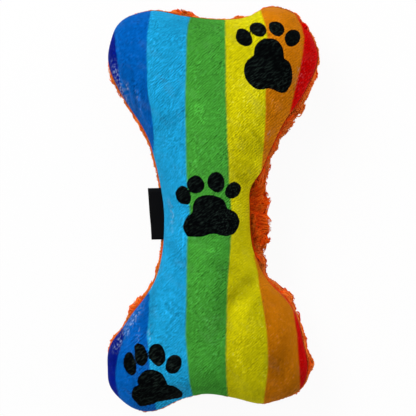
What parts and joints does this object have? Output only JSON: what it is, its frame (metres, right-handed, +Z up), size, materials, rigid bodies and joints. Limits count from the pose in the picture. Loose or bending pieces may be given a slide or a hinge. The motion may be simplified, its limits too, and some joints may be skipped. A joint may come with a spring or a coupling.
{
  "type": "bone-shaped plush dog toy",
  "caption": "Stuffed bone-shaped dog toy with a striped velour front, a shaggy plush back, a folded side label and bellows squeakers inside.",
  "frame": {"origin": "centre of the bounding box at its bottom, where the toy's plush back rests on the floor", "axes": "+X to the right of the printed front, +Y along the bone towards its upper end, +Z up, out of the printed front"},
  "size_m": [0.1714, 0.3146, 0.0704],
  "materials": {
    "velour": "short brushed pile printed with upright rainbow stripes and black paw prints",
    "plush": "shaggy curled pile about 10 mm long, bright orange",
    "thread": "spun polyester sewing thread",
    "label": "black woven ribbon, slightly shiny",
    "fibre": "loose white polyester fibre",
    "soft_plastic": "soft milky blow-moulded plastic",
    "hard_plastic": "smooth moulded plastic",
    "film": "thin clear springy film"
  },
  "bodies": {
    "stuffed_bone": {"front_cover": "velour", "back_cover": "plush", "seam_thread": "thread", "closing_thread": "thread", "shank_fill": "fibre", "upper_left_fill": "fibre", "upper_right_fill": "fibre", "lower_left_fill": "fibre", "lower_right_fill": "fibre", "upper_bellows": "soft_plastic", "lower_bellows": "soft_plastic"},
    "label_flap": {"label": "label"},
    "upper_whistle": {"upper_whistle_sleeve": "hard_plastic", "upper_reed_board": "hard_plastic", "upper_reed": "film"},
    "lower_whistle": {"lower_whistle_sleeve": "hard_plastic", "lower_reed_board": "hard_plastic", "lower_reed": "film"}
  },
  "joints": [
    {"name": "label_swing", "type": "hinge", "parent": "stuffed_bone", "child": "label_flap", "pos_m": [-0.04047, -0.00734, 0.03565], "axis": [-0.031, 0.9995, 0], "range_deg": [-30, 65], "stiffness_Nm_per_rad": 0.002},
    {"name": "upper_squeaker_press", "type": "slide", "parent": "stuffed_bone", "child": "upper_whistle", "axis": [0, 0, -1], "range_m": [0, 0.009], "stiffness_N_per_m": 300, "deforming": ["upper_bellows"]},
    {"name": "lower_squeaker_press", "type": "slide", "parent": "stuffed_bone", "child": "lower_whistle", "axis": [0, 0, -1], "range_m": [0, 0.009], "stiffness_N_per_m": 300, "deforming": ["lower_bellows"]}
  ]
}
